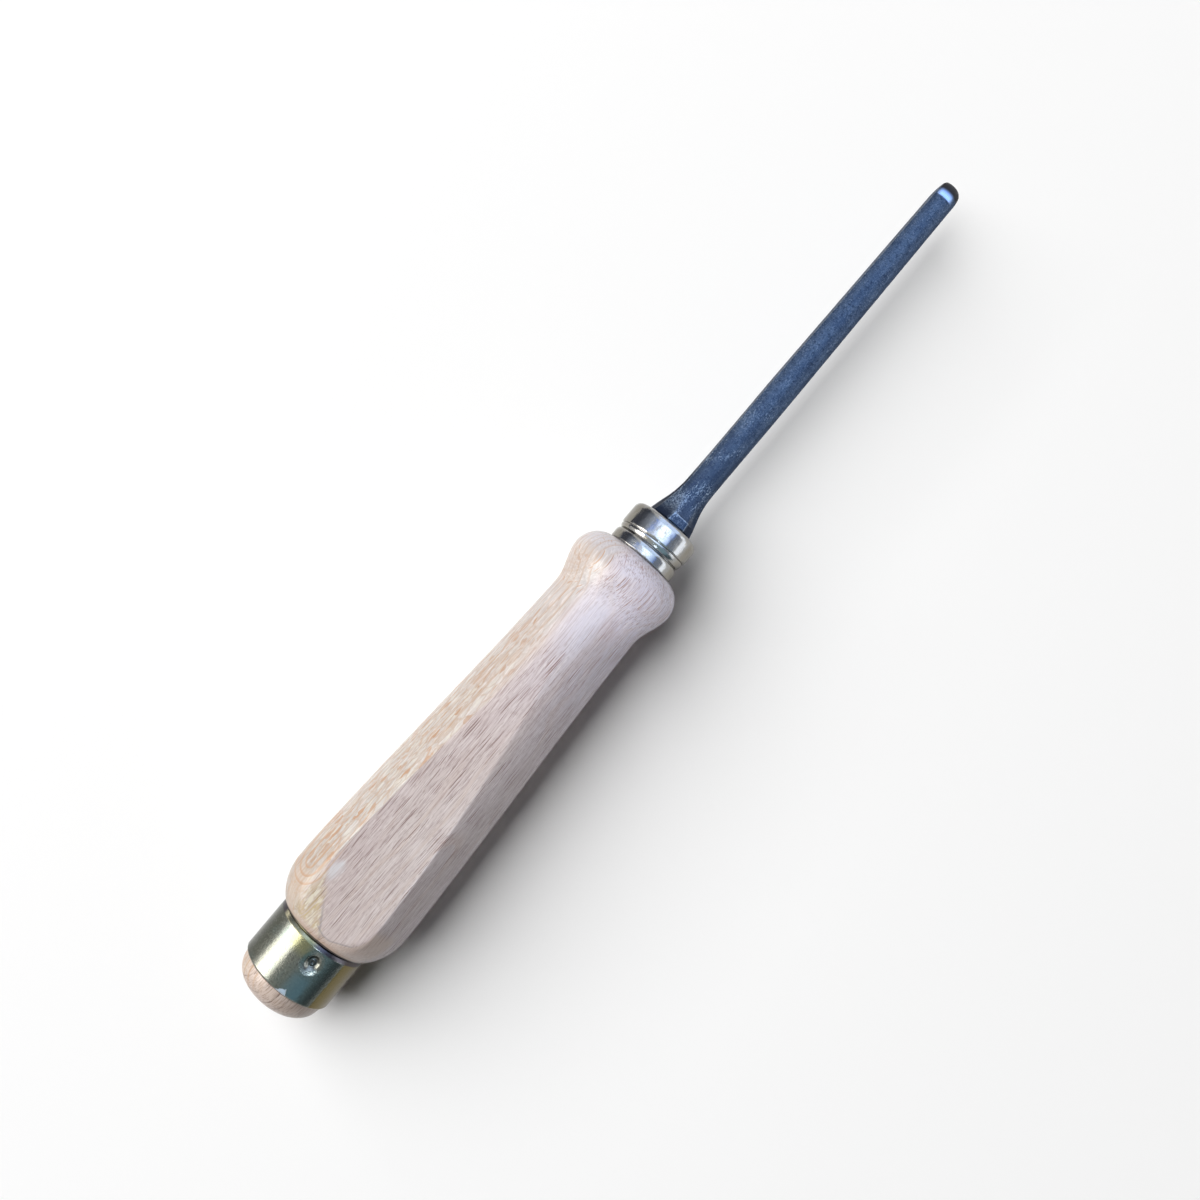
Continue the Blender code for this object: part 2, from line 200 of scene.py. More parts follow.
def lathe_tree():
    """Spins a line of points (radius, distance of the flats, station) about the tool's axis."""
    tree = bpy.data.node_groups.new("turned_on_lathe", "GeometryNodeTree")
    face = tree.interface
    face.new_socket("Line", in_out="INPUT", socket_type="NodeSocketGeometry")
    sizes = {
        "Turn Steps": 96, "Least Flat Angle": math.radians(45.0), "Crowding": 1.0,
        "Near Arris": 0.0003, "Near Butt Arris": 0.0003, "Far Arris": 0.0003, "Far Butt Arris": 0.0003,
        "Far Front Arris": 0.0, "Slip Distance": 1.0, "Flat Twist": 0.0}
    for name, value in sizes.items():
        kind = "NodeSocketInt" if isinstance(value, int) else "NodeSocketFloat"
        face.new_socket(name, in_out="INPUT", socket_type=kind).default_value = value
    face.new_socket("Material", in_out="INPUT", socket_type="NodeSocketMaterial")
    face.new_socket("Piece", in_out="OUTPUT", socket_type="NodeSocketGeometry")
    line = Wire(tree).add("NodeGroupInput", None, None, "Line")
    steps = line.also("Turn Steps")
    count = line.add("GeometryNodeAttributeDomainSize", {"component": "MESH"}, {0: line}, "Point Count")
    grid = line.add("GeometryNodeMeshGrid", None, {
        "Size X": 1.0, "Size Y": 1.0, "Vertices X": steps + 1.0, "Vertices Y": count}, "Mesh")
    spot = line.add("GeometryNodeInputPosition")
    across, along, _ = spot.axes()
    turn = across + 0.5
    row = line.add("FunctionNodeFloatToInt", {"rounding_mode": "ROUND"}, {
        0: (along + 0.5) * (count - 1.0)})
    sample = line.add("GeometryNodeSampleIndex", {"data_type": "FLOAT_VECTOR", "domain": "POINT"}, {
        "Geometry": line, "Value": spot, "Index": row})
    radius, flat, station = sample.axes()
    # Columns are shared between flat and round, so that a row of points runs along each arris
    quarter = line.math("PINGPONG", turn * 4.0, 1.0)
    crowd = line.also("Crowding")
    over = line.math("COMPARE", turn, 0.5, 0.2500001) * -2.0 + 1.0
    side = line.math("LESS_THAN", turn, 0.5) * 2.0 - 1.0

    def risen(start, length):
        # 0 up to a station and 1 from a length further on
        return ((station - start) / length).most(0.0).least(1.0)

    # The upper flat was held by hand: it turns a little to the far side on its way to the front
    upper = over * 0.5 + 0.5
    twist = risen(*TWIST_OVER) ** TWIST_CURVE * line.also("Flat Twist") * upper
    arris = line.math("ARCCOSINE", (flat / radius.most(1e-6)).least(1.0)) + twist * side
    arris = arris.most(line.also("Least Flat Angle"))
    on_flat = 1.0 - (1.0 - (quarter * 2.0).least(1.0)) ** crowd
    on_round = (quarter * 2.0 - 1.0).most(0.0) ** crowd
    angle = arris * on_flat + (math.pi / 2 - arris) * on_round
    sine = line.math("SINE", angle)
    cosine = line.math("COSINE", angle)
    # The arris is softened by joining round and flat over a short width, which changes by the butt
    near_turn, far_turn = risen(*NEAR_ARRIS_OVER), risen(*FAR_ARRIS_OVER)
    near = line.also("Near Butt Arris") * (1.0 - near_turn) + line.also("Near Arris") * near_turn
    far = line.also("Far Butt Arris") * (1.0 - far_turn) + line.also("Far Arris") * far_turn
    far = far + risen(*FRONT_ARRIS_OVER) * line.also("Far Front Arris")
    far_side = line.math("GREATER_THAN", side, 0.0)
    run_out_end, sharpest = sum(RUNS_OUT_OVER), 0.02
    fade = ((run_out_end - station) / RUNS_OUT_OVER[1]).most(sharpest).least(1.0)
    width = (near * (1.0 - far_side) + far * far_side) * fade
    # A slip of the sander tilts one corner of the upper flat by the butt
    slip_along, slip_side, slip_up = 0.036, 0.066, 0.9972
    least_cosine = 0.02
    lean = sine * side * slip_side + cosine * over * slip_up
    slip = (line.also("Slip Distance") + station * slip_along) / lean.most(least_cosine)
    level = line.math("COSINE", angle - twist * side)
    plane = (flat / level.most(least_cosine)).least(slip)
    gap = (width - line.math("ABSOLUTE", plane - radius)).most(0.0) / width
    reach = plane.least(radius) - gap * gap * width * 0.25
    up = reach * cosine * over
    out = reach * sine * side
    point = line.add("ShaderNodeCombineXYZ", None, {
        0: station * RISE_COS - up * RISE_SIN + BUTT_X,
        1: out,
        2: station * RISE_SIN + up * RISE_COS + BUTT_Z})
    milled_edge, weld, crease_angle = 0.00012, 0.000002, math.radians(24.0)
    piece = line.add("GeometryNodeStoreNamedAttribute", {"data_type": "FLOAT", "domain": "POINT"}, {
        "Geometry": grid, "Name": "milled",
        "Value": ((radius - plane) / milled_edge).most(0.0).least(1.0)})
    piece = line.add("GeometryNodeSetPosition", None, {"Geometry": piece, "Position": point})
    piece = line.add("GeometryNodeMergeByDistance", None, {"Geometry": piece, "Distance": weld})
    piece = line.add("GeometryNodeSetShadeSmooth", {"domain": "FACE"}, {0: piece, "Shade Smooth": True})
    bend = line.add("GeometryNodeInputMeshEdgeAngle", None, None, "Unsigned Angle")
    crease = line.math("GREATER_THAN", bend, crease_angle)
    piece = line.add("GeometryNodeSetShadeSmooth", {"domain": "EDGE"}, {
        0: piece, "Selection": crease, "Shade Smooth": False})
    piece = line.add("GeometryNodeRealizeInstances", None, {0: piece})
    piece = line.add("GeometryNodeSetMaterial", None, {0: piece, "Material": line.also("Material")})
    end = tree.nodes.new("NodeGroupOutput")
    tree.links.new(piece.socket, end.inputs["Piece"])
    return tree


LATHE = lathe_tree()


def placed(name, data):
    made = bpy.data.objects.new(name, data)
    bpy.context.scene.collection.objects.link(made)
    return made


def turned(name, line, material, sizes):
    # Spins a line on the lathe tree and keeps the plain mesh that it gives
    mesh = bpy.data.meshes.new(name + "_line")
    mesh.from_pydata(line, [], [])
    made = placed(name, mesh)
    spin = made.modifiers.new("Lathe", "NODES")
    spin.node_group = LATHE
    inputs = [item for item in LATHE.interface.items_tree if item.in_out == "INPUT"]
    sockets = {item.name: item.identifier for item in inputs}
    for key, value in sizes.items():
        spin[sockets[key]] = value
    spin[sockets["Material"]] = material
    shape = bpy.data.meshes.new_from_object(made.evaluated_get(bpy.context.evaluated_depsgraph_get()))
    made.modifiers.remove(spin)
    made.data = shape
    shape.name = name
    outward = bmesh.new()
    outward.from_mesh(shape)
    bmesh.ops.recalc_face_normals(outward, faces=outward.faces[:])
    outward.to_mesh(shape)
    outward.free()
    return made


def beech_material():
    made, place = start_material("beech")
    x, y, z = place.axes()
    # The wood's own directions: along the grain, across the rays, and out along the radius of the tree
    wander = place.stretch((0.034, 0.014, 0.014)).noise(2.0, out="Color")
    wx, wy, wz = wander.axes()
    across = y * 0.79 + z * 0.61 + (wy - 0.5) * 0.0026
    radial = z * 0.79 - y * 0.61 + (wz - 0.5) * 0.004
    grain = place.add("ShaderNodeCombineXYZ", None, {0: x + (wx - 0.5) * 0.004, 1: across, 2: radial})
    # How far round the taper a point is, from -1 on the near side to 1 on the far side
    turn = y / (0.0122 - x * 0.05)
    milled = place.attribute("milled")
    far = turn.step(0.26, 0.52) * (1.0 - milled)

    def rays(space, lengths, share, edge, soft=0.04, weakest=0.3):
        # Rays of the wood as flat lenses of unlike strength; a share of the cells holds one
        cell = space.stretch(lengths).cells()
        pick, strength, _ = cell.also("Color").axes()
        strength = strength * (1.0 - weakest) + weakest
        return cell.step(*edge) * pick.step(share + soft, share - soft) * strength

    # Pale ground, pinker in some bands and creamier in others
    tone = place.stretch((0.05, 0.01, 0.007)).noise(3.0, 0.55)
    fibre = grain.stretch((0.0066, 0.0002, 0.0005)).noise(2.0, 0.62)
    front = x.step(-0.05, 0.004)
    above = z.step(0.006, 0.016)
    colour = tone.step(0.36, 0.66).mix((0.52, 0.435, 0.422), (0.556, 0.48, 0.457))
    # The far side is painted darker and greyer where the main lamp lights it, painted shade, and the
    # near side above is painted a dim lavender, painted shade
    colour = colour.tint(far, (0.432, 0.422, 0.394), 0.75)
    colour = colour.tint(turn.step(-0.3, -0.6) * (1.0 - milled) * above, (0.45, 0.4, 0.426), 0.5)
    # Toward the front it is painted cooler on top and on the nose, painted bluish light, and warmer and
    # ruddier on the far side, painted warm light
    cool = front * (above * 0.8 + 0.2) * (1.0 - turn.step(0.05, 0.45) * 0.75)
    colour = colour.tint(cool, (0.54, 0.518, 0.604), 0.74)
    colour = colour.tint(front * turn.step(-0.25, -0.6) * above, (0.5, 0.49, 0.61), 0.35)
    colour = colour.tint(x.step(0.003, 0.009) * above, (0.64, 0.63, 0.745), 0.3)
    warm = x.band(-0.075, -0.04, -0.012, 0.0) * turn.band(0.1, 0.4, 0.7, 0.95)
    colour = colour.tint(warm * (1.0 - milled), (0.61, 0.5, 0.435), 0.28)
    ruddy = x.band(-0.009, -0.004, 0.0035, 0.007) * turn.step(0.5, 0.75)
    colour = colour.tint(ruddy, (0.58, 0.44, 0.325), 0.3)
    # Fine fibres, dark and pale
    contrast = 0.5 - far * 0.3 + front * (1.0 - far) * 0.2
    colour = colour.tint(fibre.step(0.53, 0.61), (0.3, 0.215, 0.2), contrast)
    colour = colour.tint(fibre.step(0.46, 0.34), (0.69, 0.63, 0.615), 0.55)
    # Rings of growth: thin reddish lines where the surface cuts across them
    ring_pitch = 0.0021
    ring = place.math("FRACT", (radial + across * across * 7.0 + x * 0.01) / ring_pitch)
    late = ring.band(0.6, 0.93, 0.96, 1.0)
    colour = colour.tint(late * (tone.step(0.35, 0.65) * 0.18 + far * 0.3), (0.43, 0.265, 0.16))
    # The rays show as short dark dashes where the surface cuts them
    fleck = far.mix((0.15, 0.072, 0.058), (0.43, 0.235, 0.125))
    fleck = fleck.tint(front * (1.0 - far), (0.3, 0.13, 0.085), 0.7)
    fleck = fleck.tint(1.0 - above, (0.37, 0.225, 0.145), 0.85)
    large = rays(grain, (0.0128, 0.00036, 0.0032), 0.5, (0.31, 0.23))
    small = rays(grain, (0.0082, 0.00024, 0.002), 0.56, (0.33, 0.23))
    colour = colour.tint(small, fleck, 0.68)
    colour = colour.tint(large, fleck, 0.9)
    # On the far side they lie in the surface: pale scales with tan edges, some of them tan all over
    flake = far * (1.0 - front * 0.92)
    stir = place.stretch((0.0016, 0.001, 0.001)).noise(2.0, out="Color")
    stirred = grain.add("ShaderNodeVectorMath", {"operation": "MULTIPLY_ADD"}, {
        0: stir, 1: (0.0022, 0.0008, 0.0008), 2: grain})
    scales = stirred.stretch((0.005, 0.0018, 0.001))
    edges = scales.cells("DISTANCE_TO_EDGE").step(0.16, 0.02)
    colour = colour.tint(flake * scales.cells().step(0.48, 0.15), (0.585, 0.55, 0.475), 0.52)
    colour = colour.tint(flake * edges, (0.38, 0.25, 0.16), 0.46)
    tan = rays(stirred, (0.0066, 0.002, 0.0016), 0.21, (0.46, 0.4), 0.02, 0.4)
    tan = tan.most(rays(stirred, (0.0038, 0.0014, 0.001), 0.3, (0.46, 0.4), 0.02, 0.4))
    colour = colour.tint(flake * tan, (0.405, 0.228, 0.126), 0.88)
    # Pores, fine short pricks along the grain
    pore = grain.stretch((0.0019, 0.00017, 0.00034)).cells()
    pricks = pore.step(0.42, 0.18) * pore.also("Color").axes()[0].step(0.45, 0.35)
    colour = colour.tint(pricks, (0.225, 0.14, 0.116), 0.44 - far * 0.28)
    # End grain of the struck butt is browner and has fine checks
    butt = x.step(-0.1225, -0.125)
    check_pitch = 0.0023
    check = (across + (wx - 0.5) * 0.004 + (fibre - 0.5) * 0.0008) / check_pitch
    broken = place.stretch((0.003, 0.004, 0.004)).noise(2.0).step(0.36, 0.52)
    checks = place.math("FRACT", check).step(0.12, 0.04) * butt * broken
    colour = colour.tint(butt, (0.54, 0.424, 0.336), 0.62)
    colour = colour.tint(butt * fibre.step(0.5, 0.6), (0.25, 0.165, 0.125), 0.45)
    colour = colour.tint(butt * late * y.step(0.001, 0.007), (0.4, 0.24, 0.13), 0.6)
    colour = colour.tint(checks, (0.14, 0.08, 0.058), 0.78)
    # The slip of the sander by the hoop was sealed again and kept a yellow tinge
    ragged = place.stretch((0.0036, 0.0011, 0.0011)).noise(3.0)
    past = y - (x + 0.1065) * 0.604 - 0.0012
    about = x.band(-0.1088, -0.1066, -0.0985, -0.0915) * z.step(0.02, 0.022)
    about = about * (y + (ragged - 0.5) * 0.004).step(0.0108, 0.0084)
    sealed = (past + (ragged - 0.5) * 0.006 + (fibre - 0.5) * 0.003).step(-0.0006, 0.0016) * about
    tinge = (0.3 + fibre.step(0.42, 0.58) * 0.55) * (1.0 - y.step(0.006, 0.0095) * 0.45)
    colour = colour.tint(sealed * tinge, (0.5, 0.384, 0.19))
    # Pale specks on the sealed slip are painted highlights
    painted_glint = (ragged + (fibre - 0.5) * 0.5 + y.step(0.006, 0.0095) * 0.06).step(0.54, 0.62)
    colour = colour.tint(sealed * painted_glint, (0.7, 0.66, 0.56), 0.75)
    # Beside it is a short painted highlight on the flat, and the far shoulder is painted a little
    # darker, painted shade
    scuff_and_sheen = ((x + 0.0931) / 0.0024) ** 2.0 + ((y - 0.0074) / 0.0014) ** 2.0
    scuff_and_sheen = scuff_and_sheen + (ragged - 0.5) * 3.0 + (fibre - 0.5) * 2.0
    colour = colour.tint(scuff_and_sheen.step(2.2, -0.4) * milled, (0.64, 0.645, 0.675), 0.72)
    shoulder = x.band(-0.1125, -0.111, -0.097, -0.086) * turn.step(0.35, 0.6)
    colour = colour.tint(shoulder * (1.0 - milled), (0.33, 0.27, 0.215), 0.3)
    # Behind the flat the shoulder is creamier, past a fine dark line
    cream = (0.52, 0.395, 0.3)
    behind = x.band(-0.1125, -0.111, -0.1, -0.097) * z.step(0.0215, 0.0235)
    colour = colour.tint(behind * (1.0 - milled) * (1.0 - sealed), cream, 0.45)
    bow = (y * -1.0 - 0.0025).most(0.0) * 0.44 + (y + 0.0006).most(0.0) * 0.4
    rear = x + 0.1074 - bow + (fibre - 0.5) * 0.0003
    colour = colour.tint(rear.step(0.0002, -0.0003) * milled * (1.0 - sealed), cream, 0.4)
    line = rear.band(-0.0003, 0.0, 0.0001, 0.0004) * y.band(-0.009, -0.007, 0.0018, 0.0026)
    colour = colour.tint(line * milled, (0.27, 0.24, 0.24), 0.55)

    def loops(middle, side, pitch):
        # Nested loops where the shoulder and the bead cut the rings, round a point of the far side;
        # those of the shoulder open toward the front
        ahead, aside = x - middle, (y - side) * 1.35
        if middle < 0.0:
            ahead = ahead.least(0.0)
        reach = (ahead * ahead + aside * aside) ** 0.5 + (wy - 0.5) * 0.0024
        turns = place.math("FRACT", reach / pitch)
        return turns.band(0.52, 0.88, 0.94, 1.0) * reach.step(0.0085, 0.005)

    bent = loops(-0.0965, 0.0134, 0.002) * x.step(-0.084, -0.093)
    bent = bent + loops(0.0032, 0.0124, 0.0021) * x.step(0.005, 0.002) * 0.3
    bent = bent * y.step(0.005, 0.0085) * z.step(0.013, 0.017)
    colour = colour.tint(bent, (0.43, 0.25, 0.14), 0.7)
    # The cove is painted paler on top, a painted sheen, and a dark line bounds the sealed corner
    cove_sheen = x.band(-0.022, -0.012, -0.004, 0.001) * y.band(-0.006, -0.002, 0.003, 0.007)
    colour = colour.tint(cove_sheen * z.step(0.018, 0.022), (0.65, 0.625, 0.705), 0.45)
    corner = past.band(-0.0006, -0.0001, 0.0, 0.0005) * about * x.step(-0.099, -0.1045)
    colour = colour.tint(corner, (0.27, 0.244, 0.245), 0.6)
    # The cut edge at the hoop's face is darker, and painted black in the gap as painted shade
    seat = x.step(-0.12, -0.114)
    colour = colour.tint(x.step(-0.1078, -0.1094) * seat, (0.42, 0.27, 0.17), 0.55)
    colour = colour.tint(x.step(-0.10905, -0.10935) * seat, (0.026, 0.016, 0.016), 0.95)
    # The sealer is speckled, thin where the shoulder was sanded again, and dull by the cove
    speck = place.stretch((0.0009, 0.00034, 0.00034)).noise(1.0).step(0.4, 0.62)
    sanded = x.step(-0.08, -0.096) * y.step(0.002, 0.007)
    dull = x.band(-0.015, -0.011, -0.0025, -0.0005) * y.step(0.001, 0.004)
    coat = (0.28 - sanded * 0.24) * (0.25 + speck * 1.5) * (1.0 - dull * 0.85)
    rough = 0.36 + (fibre - 0.5) * 0.3 - sealed * 0.08 + large * 0.08 + dull * 0.2
    height = fibre * 0.6 - pricks * 0.4 - large * 0.3 - checks * 0.8
    finish_material(place, colour, rough, height, 0.00004, {
        "Coat Weight": coat, "Coat Roughness": 0.24, "Specular IOR Level": 0.3})
    return made


BEECH = beech_material()


def handle_line():
    # From the bottom of the tang's hole, out over the front tenon, and back to the butt
    bare = [*TANG_HOLE, *FRONT_TENON, (0.0095, BEAD_FRONT)]
    for t in shares(40):
        a = math.radians(90.0 * t)
        bare.append((
            blend(BEAD_FRONT_RADIUS, BEAD_RADIUS, math.sin(a) ** BEAD_FULLNESS),
            blend(BEAD_FRONT, BEAD, 1.0 - math.cos(a))))
    for t in shares(36, 1):
        bare.append((blend(BEAD_RADIUS, WAIST_RADIUS, ease(t)), blend(BEAD, WAIST_FRONT, t)))
    for t in shares(110):
        fall = TAPER_EVENNESS * t + (1.0 - TAPER_EVENNESS) * ease(t)
        bare.append((blend(WAIST_RADIUS, GRIP_RADIUS, fall), blend(WAIST_REAR, FULL_FRONT, t)))
    sweep = math.asin((FULL_REAR - SHOULDER_STATION) / SHOULDER_ROUND)
    for i in range(SHOULDER_STEPS + 1):
        a = sweep * i / SHOULDER_STEPS
        bare.append((
            GRIP_RADIUS - SHOULDER_ROUND * (1.0 - math.cos(a)),
            FULL_REAR - SHOULDER_ROUND * math.sin(a)))
    # The rear tenon has a waist where the hoop's dimple goes in
    bare += [
        (0.0126, SHOULDER_STATION), (REAR_TENON_RADIUS, SHOULDER_STATION),
        (DIMPLE_WAIST, 0.0225), (DIMPLE_WAIST, 0.012),
        (REAR_TENON_RADIUS, 0.0112), (REAR_TENON_RADIUS, DOME_FRONT)]
    base, power = REAR_TENON_RADIUS + DOME_SWELL, 2.0 / DOME_FULLNESS
    for t in shares(42)[:-1]:
        a = math.radians(90.0 * t)
        bare.append((
            base * math.cos(a) ** power, blend(DOME_FRONT, DOME_REAR, math.sin(a) ** power)))
    bare.append((0.0, DOME_REAR))
    slope = (FLAT_REAR - FLAT_FRONT) / (WAIST_FRONT - FLAT_REAR_STATION)
    line = []
    for radius, station in bare:
        milled = SHOULDER_STATION <= station <= WAIST_FRONT
        line.append((radius, FLAT_FRONT + slope * (WAIST_FRONT - station) if milled else 1.0, station))
    return line


handle = turned("beech_handle", handle_line(), BEECH, {
    "Turn Steps": 208, "Least Flat Angle": math.radians(9.0), "Crowding": 1.5,
    "Near Arris": 0.00025, "Near Butt Arris": 0.002, "Far Arris": 0.00006, "Far Butt Arris": 0.0011,
    "Far Front Arris": 0.0024, "Slip Distance": 0.012947, "Flat Twist": math.radians(6.0)})
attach(handle, "root")
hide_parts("handle")


# ------------------------------------------------------------
# Front ferrule: a thin cap drawn from steel strip, rolled with a groove and a narrow ring behind
# its rounded rim, nickel plated and pressed over the front tenon.

def nickel_material():
    made, place = start_material("nickel")
    wave = place.stretch((0.005, 0.0036, 0.0036)).noise(2.0)
    polish = place.stretch((0.00012, 0.004, 0.004)).noise(2.0)
    grain = place.stretch((0.00022, 0.00022, 0.00022)).noise(1.0)
    stain = place.stretch((0.0022, 0.0014, 0.0014)).noise(4.0, 0.6)
    colour = stain.step(0.52, 0.72).mix((0.34, 0.336, 0.325), (0.27, 0.248, 0.208))
    # The two sides are painted darker and yellower, a painted reflection
    sides = place.math("ABSOLUTE", place.axes()[1]).step(0.0066, 0.0078)
    colour = colour.tint(sides, (0.235, 0.214, 0.172), 0.75)
    rough = 0.13 + stain.step(0.5, 0.75) * 0.1 + grain * 0.08
    height = wave + polish * 0.06 + grain * 0.05
    finish_material(place, colour, rough, height, 0.0002, {"Metallic": 1.0})
    return made


NICKEL = nickel_material()


def rounded(line, passes):
    # Cuts the corners of a line of points again and again; a point given twice keeps its corner
    for _ in range(passes):
        cut = [line[0]]
        for a, b in zip(line, line[1:]):
            cut.append(tuple(blend(p, q, 0.25) for p, q in zip(a, b)))
            cut.append(tuple(blend(p, q, 0.75) for p, q in zip(a, b)))
        cut.append(line[-1])
        line = cut
    return line


def unflat(line):
    # A turned line without flats: they are put out of reach
    return [(radius, 1.0, station) for radius, station in line]


def unlaid(point):
    # The station of a point of the laid tool, and its height above the axis
    x, z = point.x - BUTT_X, point.z - BUTT_Z
    return x * RISE_COS + z * RISE_SIN, z * RISE_COS - x * RISE_SIN


FERRULE_REAR, FERRULE_GROOVE, FERRULE_CAP, FERRULE_FRONT = 0.1441, 0.1474, 0.1492, 0.1553
FERRULE_BORE, BAND_RADIUS, CAP_RADIUS, FERRULE_WALL = 0.005, 0.0093, 0.00945, 0.0007
FERRULE_SKEW, SKEW_BEHIND_CAP, SKEW_REACH = 0.0005, 0.0003, 0.0022


def ferrule_line():
    rear, groove, cap, front = FERRULE_REAR, FERRULE_GROOVE, FERRULE_CAP, FERRULE_FRONT
    bore, band, rim = FERRULE_BORE, BAND_RADIUS, CAP_RADIUS
    outside = [
        (bore, front - 0.0006), (bore, front), (bore, front), (0.0066, front),
        (0.0079, front - 0.0001), (0.009, front - 0.0006), (rim, front - 0.0016),
        (rim, front - 0.002), (rim, cap + 0.0007), (0.00943, cap + 0.0003),
        (0.0093, cap + 0.00005), (0.009, cap), (0.0092, cap - 0.0002), (0.0091, cap - 0.0009),
        (0.0088, groove + 0.0002), (0.00835, groove + 0.00005), (0.00835, groove - 0.00005),
        (0.0088, groove - 0.0002), (0.00912, groove - 0.0006), (band, groove - 0.0012),
        (band, groove - 0.0016), (band, rear + 0.0003), (band, rear + 0.0003),
        (0.0092, rear), (0.0092, rear)]
    inside = [
        (0.0085, rear), (0.0085, rear), (0.0085, groove - 0.001), (0.0079, groove), (0.0079, cap),
        (0.0087, cap + 0.0008), (0.0087, front - 0.0016), (0.0079, front - FERRULE_WALL),
        (bore, front - FERRULE_WALL), (bore, front - 0.0006)]
    return unflat(rounded(outside, 2) + rounded(inside, 1))


ferrule = turned("nickel_ferrule", ferrule_line(), NICKEL, {"Turn Steps": 192})
# The cap's rear edge was rolled a little askew
for point in ferrule.data.vertices:
    along, _ = unlaid(point.co)
    near = ease(1.0 - abs(along - FERRULE_CAP + SKEW_BEHIND_CAP) / SKEW_REACH)
    point.co.x -= FERRULE_SKEW * near * point.co.y / BAND_RADIUS
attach(ferrule, "root")
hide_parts("front_ferrule")


# ------------------------------------------------------------
# Striking hoop: a rolled steel band, zinc plated and yellow passivated, driven over the rear
# tenon and locked to the wood by one punched dimple.

HOOP_RADIUS, HOOP_WALL = 0.0126, 0.0009
HOOP_REAR, HOOP_FRONT, HOOP_ROUND = 0.0077, 0.0228, 0.0005
RIM_FALL, RIM_LENGTH, RIM_CURVE, RIM_LIP = 0.0006, 0.0013, 1.4, 0.06
DIMPLE_BEHIND_FRONT, DIMPLE_TURN = 0.0047, math.radians(14.0)
DISH_RADIUS, DISH_DEPTH, DISH_SLOPE, DISH_STRETCH = 0.0031, 0.00032, 0.0013, 1.16
PUNCH_RADIUS, PUNCH_DEPTH, PUNCH_SLOPE = 0.0021, 0.00085, 0.0013
BURR_RADIUS, BURR_HEIGHT, BURR_WIDTH = 0.00055, 0.0002, 0.00038


def zinc_material():
    made, place = start_material("yellow_zinc")
    x, y, z = place.axes()
    wash = place.stretch((0.007, 0.0045, 0.0045)).noise(3.0, 0.55)
    fine = place.stretch((0.00042, 0.0006, 0.0006)).noise(3.0, 0.75)
    coarse = place.stretch((0.0008, 0.0016, 0.0016)).noise(2.0)
    # The colour is a painted reflection set by side: dull and dark on the far side, golden on the near
    # side, a middle tone on top
    turn = y / HOOP_RADIUS + (wash - 0.5) * 0.25
    colour = turn.step(0.62, 0.8).mix((0.165, 0.168, 0.145), (0.082, 0.086, 0.066))
    gold = (y / HOOP_RADIUS + (wash - 0.5) * 0.05 + (coarse - 0.5) * 0.05).step(-0.705, -0.735)
    colour = colour.tint(wash.step(0.5, 0.72), (0.13, 0.165, 0.16), 0.5)
    colour = colour.tint(gold, (0.136, 0.108, 0.044))
    calm = 1.0 - turn.band(0.16, 0.3, 0.6, 0.72) * 0.75 - gold * 0.8
    colour = colour.tint(fine.step(0.51, 0.66) * calm, (0.08, 0.08, 0.066), 0.8)
    colour = colour.tint(fine.step(0.47, 0.32) * calm, (0.235, 0.237, 0.205), 0.65)
    # Its turned-in front rim has a painted highlight above, and painted shade, black, where it meets
    # the wood
    along = x * RISE_COS + z * RISE_SIN - (BUTT_X * RISE_COS + BUTT_Z * RISE_SIN + HOOP_FRONT)
    rim = y.band(0.0005, 0.0036, 0.0092, 0.0106).mix((0.06, 0.052, 0.062), (0.72, 0.66, 0.44))
    colour = colour.tint(along.step(-0.0014, -0.001), rim, 0.88)
    colour = colour.tint(along.step(-0.00035, -0.00015), (0.016, 0.012, 0.014), 0.95)
    # On top the film is painted yellow toward the front and teal toward the rear, its own tint and a
    # painted reflection; the dimple's hollow has painted shade
    film_and_reflection = along.step(-0.0062, -0.003) * y.band(-0.002, 0.001, 0.0046, 0.0064)
    colour = colour.tint(film_and_reflection, (0.235, 0.222, 0.098), 0.6)
    teal = along.step(-0.0072, -0.01) * y.band(-0.0064, -0.0046, -0.002, 0.0)
    colour = colour.tint(teal * (1.0 - gold), (0.17, 0.215, 0.218), 0.65)
    away = ((along + DIMPLE_BEHIND_FRONT) ** 2.0 + (y + 0.00305) ** 2.0) ** 0.5
    dimple_shade = away.step(0.0016, 0.0008) * z.step(0.02, 0.024)
    colour = colour.tint(dimple_shade, (0.03, 0.031, 0.034), 0.7)
    # A chip at the rear rim shows the bright metal
    back = x + 0.125 + (coarse - 0.5) * 0.0012
    chip = (y + 0.0029 - back * 0.41).step(-0.0001, 0.0001) * z.step(0.02, 0.022)
    chip = chip * (0.0004 - back * 1.53 - y).step(-0.0001, 0.0001)
    colour = colour.tint(chip, (0.46, 0.49, 0.53), 0.85)
    rough = 0.14 + fine * 0.12 + wash * 0.04 + chip * 0.25
    height = fine * 0.7 + coarse * 0.35 - chip
    finish_material(place, colour, rough, height, 0.00005, {"Metallic": 1.0})
    return made


ZINC = zinc_material()


def hoop_line():
    inner = HOOP_RADIUS - HOOP_WALL
    line = [(inner, HOOP_FRONT), (HOOP_RADIUS - RIM_FALL, HOOP_FRONT)]
    for t in shares(8):
        line.append((
            HOOP_RADIUS - RIM_FALL * (1.0 - t) ** RIM_CURVE,
            HOOP_FRONT - RIM_LENGTH * blend(RIM_LIP, 1.0, t)))
    for t in shares(100)[1:-1]:
        line.append((HOOP_RADIUS, blend(HOOP_FRONT - RIM_LENGTH, HOOP_REAR + HOOP_ROUND, t)))
    for t in shares(6):
        a = math.radians(90.0 * t)
        line.append((
            HOOP_RADIUS - HOOP_ROUND * (1.0 - math.cos(a)),
            HOOP_REAR + HOOP_ROUND * (1.0 - math.sin(a))))
    for t in shares(30):
        line.append((inner, blend(HOOP_REAR, HOOP_FRONT, t)))
    return unflat(line)


hoop = turned("zinc_hoop", hoop_line(), ZINC, {"Turn Steps": 384})
